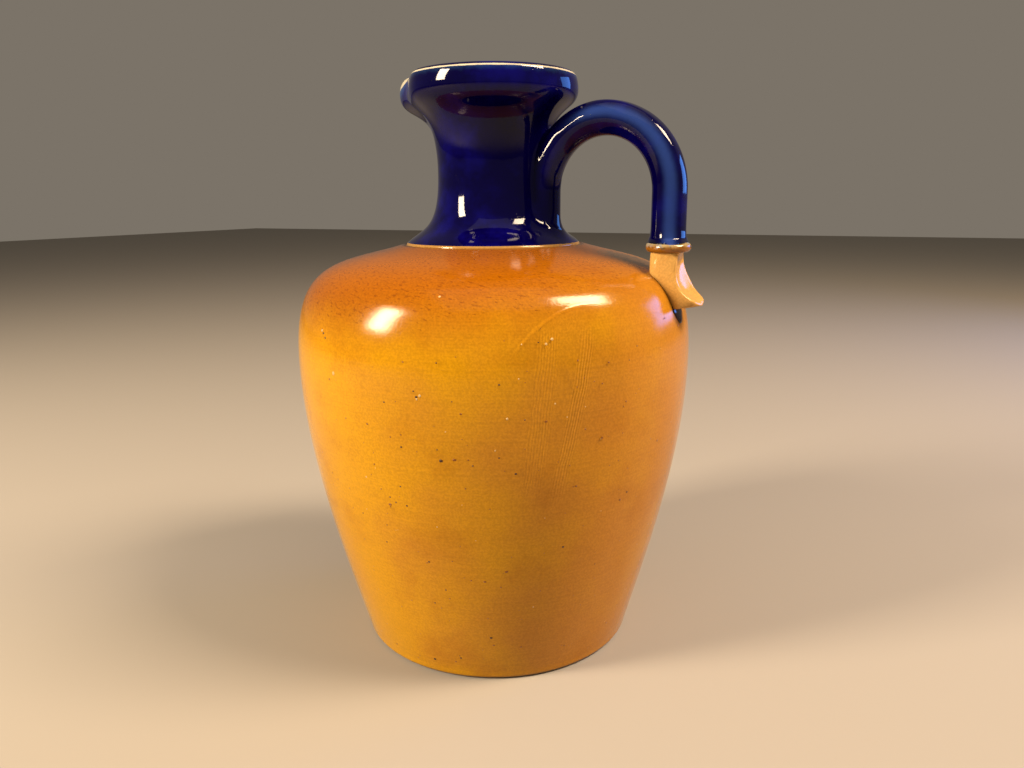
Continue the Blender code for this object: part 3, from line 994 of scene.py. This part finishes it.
@dataclass(frozen=True)
class SaltGlaze:
    """Salt-glazed stoneware, thrown and fired.

    The salt vapour leaves a thin glassy skin with a fine orange-peel grain over the clay. The eye
    sees warm ochre, a darker orange wash with brown streaks on the shoulder, faint lines from
    the wheel, what the tools scratched, and a smoky patch under the handle.
    """

    seat_height: float
    name: str = "salt_glazed_stoneware"
    golden: str = "b48206"
    tan: str = "a56e1c"
    ochre: str = "925a05"
    wash: str = "864b03"
    crown: str = "6c3b02"
    streak: str = "582604"
    bare: str = "94703a"
    groove: str = "72450f"
    smoke: str = "2e261c"
    ash: str = "6e5630"
    roughness: float = 0.15
    peel_spacing: float = 0.65 * MM
    peel_height: float = 0.030 * MM
    wheel_spacing: float = 0.75 * MM
    wheel_height: float = 0.010 * MM
    streak_width: float = 0.45 * MM
    rib_spacing: float = 0.85 * MM
    rib_strength: float = 0.8
    rib_top: float = 115.8 * MM
    rib_length: float = 48.5 * MM
    ridge_middle: tuple[float, float] = (-44.0 * MM, 93.5 * MM)
    ridge_radius: float = 28.6 * MM
    mark_height: float = 0.05 * MM
    mark_shade: float = 0.12
    reach: float = 66.5 * MM
    smoke_middle: tuple[float, float, float] = (46 * MM, 6 * MM, 130 * MM)
    smoke_size: tuple[float, float, float] = (12 * MM, 11 * MM, 9 * MM)
    groove_radius: float = 30.4 * MM
    bare_radius: float = 29.55 * MM

    def make(self) -> Material:
        """The material, with its patterns on Object coordinates."""
        recipe = Recipe(self.name)
        radius = recipe.length(recipe.add("CombineXYZ", None, {0: recipe.x, 1: recipe.y}))
        fall = recipe.minus(recipe.z, radius)
        around = recipe.times(recipe.math("ARCTAN2", recipe.y, recipe.x), self.reach)

        wash = self.wash_share(recipe)
        colour = recipe.mix(wash, self.clouds(recipe), self.wash)
        top = recipe.times(recipe.ramp(radius, 46 * MM, 30 * MM, end=0.75), wash)
        colour = recipe.mix(top, colour, self.crown)
        colour = recipe.mix(self.streaks(recipe, around, fall, wash), colour, self.streak)
        colour = self.seat(recipe, radius, self.smoky_patch(recipe, colour))

        ring_inputs = {"W": fall, "Scale": 1 / self.wheel_spacing, "Detail": 3.0}
        rings = recipe.add("TexNoise", {"noise_dimensions": "1D"}, ring_inputs)
        peel = recipe.noise(self.peel_spacing)
        marks = self.tool_marks(recipe, around)
        shade = recipe.ramp(rings, 0.3, 0.7, 0.965, 1.03)
        shade = recipe.times(recipe.ramp(peel, 0.3, 0.7, 0.89, 1.09), shade)
        # The tool marks also lighten and darken the colour: painted highlight on the ridge line, painted
        # shade in the slash and between the ribs.
        shade = recipe.times(shade, recipe.times(marks, self.mark_shade, 1.0))
        colour = recipe.add("VectorMath", {"operation": "SCALE"}, {0: colour, "Scale": shade})
        normal = recipe.bump(rings, self.wheel_height, recipe.bump(peel, self.peel_height))
        normal = recipe.bump(marks, self.mark_height, normal)
        return recipe.finish(colour, normal, self.roughness, level=0.32, tint="fff0e0")

    def clouds(self, recipe: Recipe) -> Socket:
        """The body's colour in clouds, golden to -X and tan to +X: partly glaze tone, partly painted warm
        light.
        """
        # Towards -X the colour turns golden: partly the glaze's own tone, partly painted light from the
        # warm lamp on that side.
        side = recipe.times(recipe.x, 7.0, recipe.times(recipe.y, 1.5))
        tan = recipe.ramp(recipe.times(recipe.noise(30 * MM, 3), 1.5, side), 0.35, 1.35)
        patch = recipe.ramp(recipe.noise(17 * MM, 4, 0.6), 0.50, 0.72, end=0.35)
        return recipe.mix(patch, recipe.mix(tan, self.golden, self.tan), self.ochre)

    def wash_share(self, recipe: Recipe) -> Socket:
        """How thick the darker wash lies: full at the shoulder's top, with a ragged lower edge."""
        tilt = recipe.times(recipe.y, -0.115, recipe.times(recipe.x, -0.085, recipe.z))
        level = recipe.times(recipe.noise(14 * MM, 5, 0.65), 8 * MM, tilt)
        return recipe.ramp(level, 117 * MM, 138 * MM)

    def streaks(self, recipe: Recipe, around: Value, fall: Value, wash: Value) -> Socket:
        """Short dark dashes that lean along the wheel's turn and thin out down the shoulder."""
        slanted = recipe.times(around, 0.35, fall)
        lay = recipe.add("CombineXYZ", None, {0: recipe.times(around, 0.5), 1: slanted})
        fine = recipe.noise(2.2 * self.streak_width, 2, 0.6, lay)
        limit = {"Value": wash, "From Max": 0.85, "To Min": 0.73, "To Max": 0.545}
        return recipe.ramp(recipe.minus(fine, recipe.add("MapRange", None, limit)), 0, 0.13, end=0.55)

    def smoky_patch(self, recipe: Recipe, colour: Value) -> Socket:
        """The grey bloom that the flame left on the shoulder, inside the handle's foot."""
        away = recipe.add("VectorMath", {"operation": "SUBTRACT"}, {0: recipe.place, 1: self.smoke_middle})
        away = recipe.add("VectorMath", {"operation": "DIVIDE"}, {0: away, 1: self.smoke_size})
        edge = recipe.times(recipe.noise(1.6 * MM, 4, 0.7), -1.6, recipe.length(away))
        bloom = recipe.mix(recipe.ramp(recipe.noise(1.1 * MM, 3), 0.46, 0.74), self.smoke, self.ash)
        return recipe.mix(recipe.ramp(edge, -0.25, 0.45, 0.85, 0.0), colour, bloom)

    def seat(self, recipe: Recipe, radius: Value, colour: Value) -> Socket:
        """The bare step that the neck was luted on, and painted shade in the groove that runs round it."""
        high = recipe.ramp(recipe.z, self.seat_height - 2.0 * MM, self.seat_height - 1.7 * MM)
        # The groove's colour is painted shade in its hollow; the bare step's colour is the clay's own.
        for colour_there, edge in ((self.groove, self.groove_radius), (self.bare, self.bare_radius)):
            colour = recipe.mix(recipe.fade(high, (radius, edge, edge - 0.25 * MM)), colour, colour_there)
        return colour

    def tool_marks(self, recipe: Recipe, around: Value) -> Socket:
        """Fine ribs that a tool left down the dented side, and the ridge that bounds the dent."""
        z = recipe.z
        waver = recipe.times(recipe.noise(9 * MM, 1), 1.2 * MM, around)
        ribs: Value = 0.0
        for top_angle, foot_angle, width in ((-48.7, -53.3, 4.4 * MM), (-38.7, -46.6, 3.4 * MM)):
            top, foot = math.radians(top_angle) * self.reach, math.radians(foot_angle) * self.reach
            lean = (top - foot) / self.rib_length
            offset = recipe.minus(recipe.times(z, -lean, waver), top - lean * self.rib_top)
            wave = recipe.math("SINE", recipe.times(offset, 2 * math.pi / self.rib_spacing))
            wave = recipe.fade(wave, (recipe.math("ABSOLUTE", offset), width, width * 0.35))
            ribs = recipe.plus(wave, ribs)
        ribs = recipe.fade(ribs, (z, 62 * MM, 80 * MM), (z, 117.5 * MM, 113 * MM))

        near, rise = (recipe.minus(*pair) for pair in zip((around, z), self.ridge_middle))
        distance = recipe.length(recipe.add("CombineXYZ", None, {0: near, 1: rise}))
        off = recipe.math("ABSOLUTE", recipe.minus(distance, self.ridge_radius))
        ends = (near, 4 * MM, -8 * MM), (rise, 14 * MM, 20 * MM)
        line = recipe.fade(1.0, (off, 0.75 * MM, 0.1 * MM), *ends)

        off = recipe.math("ABSOLUTE", recipe.times(rise, 0.33, recipe.plus(near, 5.4 * MM)))
        ends = (rise, 1 * MM, 6 * MM), (rise, 17 * MM, 10 * MM)
        slash = recipe.fade(-0.6, (off, 1.5 * MM, 0.3 * MM), *ends)
        return recipe.times(ribs, self.rib_strength, recipe.plus(slash, line))


@dataclass(frozen=True)
class CobaltGlaze:
    """Cobalt glaze, dipped and fired.

    A thick glass coloured by cobalt runs to a deep navy and breaks lighter where it is thin: down
    the spout and as a cream line on the lip. Along the rod's side that faces the camera a lighter
    blue band is partly thin glaze and partly painted sheen. It mirrors the lights sharply.
    """

    lip: float
    name: str = "cobalt_glaze"
    deep: str = "02002c"
    royal: str = "080660"
    ridge_blue_and_sheen: str = "3656ac"
    thin_blue: str = "30588c"
    cream: str = "b6b09c"
    roughness: float = 0.05
    ripple_spacing: float = 6 * MM
    ripple_height: float = 0.03 * MM
    dust_spacing: float = 0.7 * MM
    dust_height: float = 0.02 * MM

    def make(self) -> Material:
        """The material, on Object coordinates and the distance along the wall and round the rod."""
        recipe = Recipe(self.name)
        ragged = recipe.noise(2.5 * MM, 3, 0.6)
        cloud = recipe.ramp(recipe.noise(16 * MM, 4, 0.6), 0.42, 0.75, end=0.7)
        # The ridge band turns lighter blue: partly thin glaze, partly painted sheen on the rod's camera
        # side.
        ridge = recipe.times(ragged, 0.2, recipe.attribute(RIDGE))
        ridge = recipe.ramp(ridge, 0.15, 1.2, end=0.34)
        colour = recipe.mix(ridge, recipe.mix(cloud, self.deep, self.royal), self.ridge_blue_and_sheen)
        colour = self.lip_line(recipe, ragged, colour)

        grain = {"Vector": recipe.place, "Scale": 1 / self.dust_spacing}
        grain = recipe.ramp(recipe.add("TexVoronoi", None, grain, "Distance"), 0.30, 0.0)
        dust = recipe.fade(grain, (recipe.noise(9 * MM), 0.52, 0.68))
        normal = recipe.bump(recipe.noise(self.ripple_spacing), self.ripple_height)
        normal = recipe.bump(dust, self.dust_height, normal)
        return recipe.finish(colour, normal, self.roughness, ior=1.52, level=0.20)

    def lip_line(self, recipe: Recipe, ragged: Value, colour: Value) -> Socket:
        """The glaze thins to light blue under the lip, and to a cream line on its outer edge.

        Args:
            recipe: The glaze being mixed.
            ragged: The noise that makes its edges ragged.
            colour: Its colour away from the lip.

        Returns:
            Its colour everywhere. Distances along the wall are in millimetres here.
        """
        along = recipe.attribute(ALONG)
        on_vessel = (along, 1.0, 2.0)
        below = recipe.minus(self.lip, along)
        spout = recipe.ramp(recipe.x, -21 * MM, -30 * MM)
        depth = recipe.times(spout, -3.6, recipe.times(ragged, 2.0, below))
        share = recipe.fade(recipe.ramp(depth, 5.4, 1.0, end=0.5), (below, 1.9, 2.4), on_vessel)
        colour = recipe.mix(share, colour, self.thin_blue)
        off = recipe.math("ABSOLUTE", recipe.minus(below, recipe.times(spout, 0.7, 2.25)))
        width = recipe.times(spout, 0.9, recipe.times(ragged, 0.3, 0.12))
        line = recipe.ramp(recipe.minus(off, width), 0.12, -0.12)
        return recipe.mix(recipe.fade(line, on_vessel), colour, self.cream)


@dataclass(frozen=True)
class BeadGlaze:
    """The bead where the two glazes meet: cream and grey-blue above, orange salt glaze below.

    The blue glaze pools on the bead's upper side, thins to cream at the edge and turns grey and
    olive where it mixes with the salt glaze.
    """

    middle_z: float
    orange: str = "7e4f14"
    cream: str = "8c7a54"
    grey_blue: str = "76808c"
    olive: str = "4a3a16"
    roughness: float = 0.14

    def make(self) -> Material:
        """The material, with its bands on the height above the bead's middle."""
        recipe = Recipe("glazed_bead")
        ragged = recipe.noise(2.6 * MM, 3, 0.6)
        rise = recipe.minus(recipe.times(ragged, 2.4 * MM, recipe.z), self.middle_z + 1.75 * MM)
        colour = recipe.mix(recipe.ramp(rise, -0.5 * MM, 0.5 * MM), self.orange, self.cream)
        pool = recipe.ramp(recipe.noise(3.2 * MM), 0.44, 0.56)
        pool = recipe.times(pool, recipe.ramp(recipe.x, 58 * MM, 64 * MM, 0.4))
        colour = recipe.mix(recipe.fade(pool, (rise, -0.6 * MM, 0.1 * MM)), colour, self.grey_blue)
        off = recipe.math("ABSOLUTE", recipe.plus(rise, 0.35 * MM))
        fleck = recipe.ramp(recipe.noise(0.9 * MM), 0.45, 0.62, end=0.85)
        colour = recipe.mix(recipe.fade(fleck, (off, 0.60 * MM, 0.10 * MM)), colour, self.olive)
        return recipe.finish(colour, recipe.bump(ragged, 0.12 * MM), self.roughness)


@dataclass(frozen=True)
class PlainClay:
    """Fired stoneware clay with little or no glaze, such as the inside and the underside."""

    name: str
    light: str
    dark: str
    roughness: float
    grain: float = 1.4 * MM
    grain_height: float = 0.05 * MM

    def make(self) -> Material:
        """The material, mottled by a fine grain."""
        recipe = Recipe(self.name)
        grain = recipe.noise(self.grain, 4)
        colour = recipe.mix(grain, self.dark, self.light)
        return recipe.finish(colour, recipe.bump(grain, self.grain_height), self.roughness, level=0.4)


@dataclass(frozen=True)
class SoftBox:
    """A soft studio light aimed at the jug."""

    name: str
    azimuth: float
    elevation: float
    distance: float
    width: float
    height: float
    power: float
    colour: str
    roll: float = 0.0
    mirrored: bool = True

    def place(self, target: Vector) -> None:
        """Adds the light, facing the target."""
        data = bpy.data.lights.new(self.name, "AREA")
        data.shape = "RECTANGLE"
        data.size = self.width
        data.size_y = self.height
        data.energy = self.power
        data.color = linear(self.colour)[:3]
        light = bpy.data.objects.new(self.name, data)
        turn, lift = math.radians(self.azimuth), math.radians(self.elevation)
        aim = Vector((math.cos(turn) * math.cos(lift), math.sin(turn) * math.cos(lift), math.sin(lift)))
        light.location = target + aim * self.distance
        light.visible_glossy = self.mirrored
        rolled = Quaternion((0, 0, 1), math.radians(self.roll))
        light.rotation_euler = (aim.to_track_quat("Z", "Y") @ rolled).to_euler()
        bpy.context.scene.collection.objects.link(light)


@dataclass
class Studio:
    """A plain pale floor, soft lights and a camera at the photograph's viewing angle."""

    floor_size: float = 6.0
    floor_colour: str = "8c8780"
    world_colour: str = "7b7368"
    world_strength: float = 1.0
    camera_place: tuple[float, float, float] = (124.63 * MM, -239.40 * MM, 151.05 * MM)
    heading: float = math.radians(116.23)
    pitch: float = math.radians(-13.45)
    roll: float = math.radians(-0.44)
    lens: float = 27.42

    def lay_floor(self) -> None:
        """Lays the floor under the jug."""
        material = bpy.data.materials.new("plain_floor")
        material.use_nodes = True
        shader = material.node_tree.nodes["Principled BSDF"]
        shader.inputs["Base Color"].default_value = linear(self.floor_colour)
        shader.inputs["Roughness"].default_value = 0.9
        bm = bmesh.new()
        bmesh.ops.create_grid(bm, x_segments=1, y_segments=1, size=self.floor_size / 2)
        to_object(bm, "floor", [material])

    def light_up(self) -> None:
        """Sets the soft boxes where the photograph's highlights come from, and a dim world."""
        middle = Vector((0, 0, 110 * MM))
        boxes = (
            SoftBox("left_key", -130, 26, 1.0, 0.21, 0.42, 23, "ffe6c4"),
            SoftBox("high_right", 8, 50, 1.0, 0.42, 0.26, 21, "ffe3c0", -30),
            SoftBox("cool_right", 50, 12, 1.0, 0.36, 0.32, 2.6, "5a98ff"),
            SoftBox("right_fill", 30, 3, 1.3, 0.9, 0.5, 8, "ffc890", mirrored=False),
            SoftBox("overhead", -62, 75, 1.4, 1.2, 1.2, 3, "fff0dc"),
        )
        for box in boxes:
            box.place(middle)
        world = bpy.data.worlds.new("studio")
        world.use_nodes = True
        background = world.node_tree.nodes["Background"]
        background.inputs["Color"].default_value = linear(self.world_colour)
        background.inputs["Strength"].default_value = self.world_strength
        bpy.context.scene.world = world
        bpy.context.scene.view_settings.view_transform = "Standard"

    def set_camera(self) -> None:
        """Places the camera as it stood for the photograph."""
        ahead = Vector((math.cos(self.heading), math.sin(self.heading), 0))
        right = Vector((ahead.y, -ahead.x, 0))
        view = ahead * math.cos(self.pitch) + Vector((0, 0, 1)) * math.sin(self.pitch)
        up = right.cross(view)
        tilted_right = right * math.cos(self.roll) + up * math.sin(self.roll)
        tilted_up = up * math.cos(self.roll) - right * math.sin(self.roll)
        data = bpy.data.cameras.new("camera")
        data.lens = self.lens
        data.sensor_width = 36
        data.clip_start = 0.01
        camera = bpy.data.objects.new("camera", data)
        axes = Matrix((tilted_right, tilted_up, -view)).transposed().to_4x4()
        camera.matrix_world = Matrix.Translation(self.camera_place) @ axes
        bpy.context.scene.collection.objects.link(camera)
        bpy.context.scene.camera = camera


def main() -> None:
    """Builds the jug's visible pieces and the studio, and reports each piece."""
    logging.basicConfig(level=logging.INFO, format="%(name)s: %(message)s")
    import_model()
    rod = Rod()
    vessel = Vessel(rim_height=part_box(NODE)[1][2])
    marks = HandMarks(vessel, rod)

    bead = Bead(rod)
    salt = SaltGlaze(vessel.seat_height).make()
    tail_glaze = SaltGlaze(vessel.seat_height, "salt_glazed_tail", **TAIL_COLOURS).make()
    lip = vessel.skin_edges()["lip"]
    cobalt = CobaltGlaze(lip).make()
    run = CobaltGlaze(lip, "thick_cobalt_run", "1e0a1c", "34162e").make()
    inside = PlainClay("stoneware_inside", "714923", "59371a", 0.45).make()
    underside = PlainClay("unglazed_underside", "92724b", "765734", 0.85).make()
    iron = PlainClay("iron_spot", "4c2c10", "241206", 0.35, 0.5 * MM).make()
    faint = PlainClay("faint_iron_spot", "86500c", "603406", 0.3, 0.5 * MM).make()
    grit = PlainClay("pale_kiln_grit", "ccb688", "a07c3c", 0.4, 0.5 * MM).make()

    pieces = [
        vessel.build([salt, cobalt, inside, underside], marks.press),
        Handle(rod).build(cobalt, marks),
        bead.build(BeadGlaze(bead.middle_z).make()),
        Tail(rod, vessel).build(tail_glaze),
        GlazeRun(vessel).build(run),
        *KilnSpecks(vessel).build(iron, faint, grit),
    ]
    for piece in pieces:
        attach(piece, "root")
        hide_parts(NODE)
        LOG.info("%s has %d faces", piece.name, len(piece.data.polygons))

    studio = Studio()
    studio.lay_floor()
    studio.light_up()
    studio.set_camera()


if __name__ == "__main__":
    main()
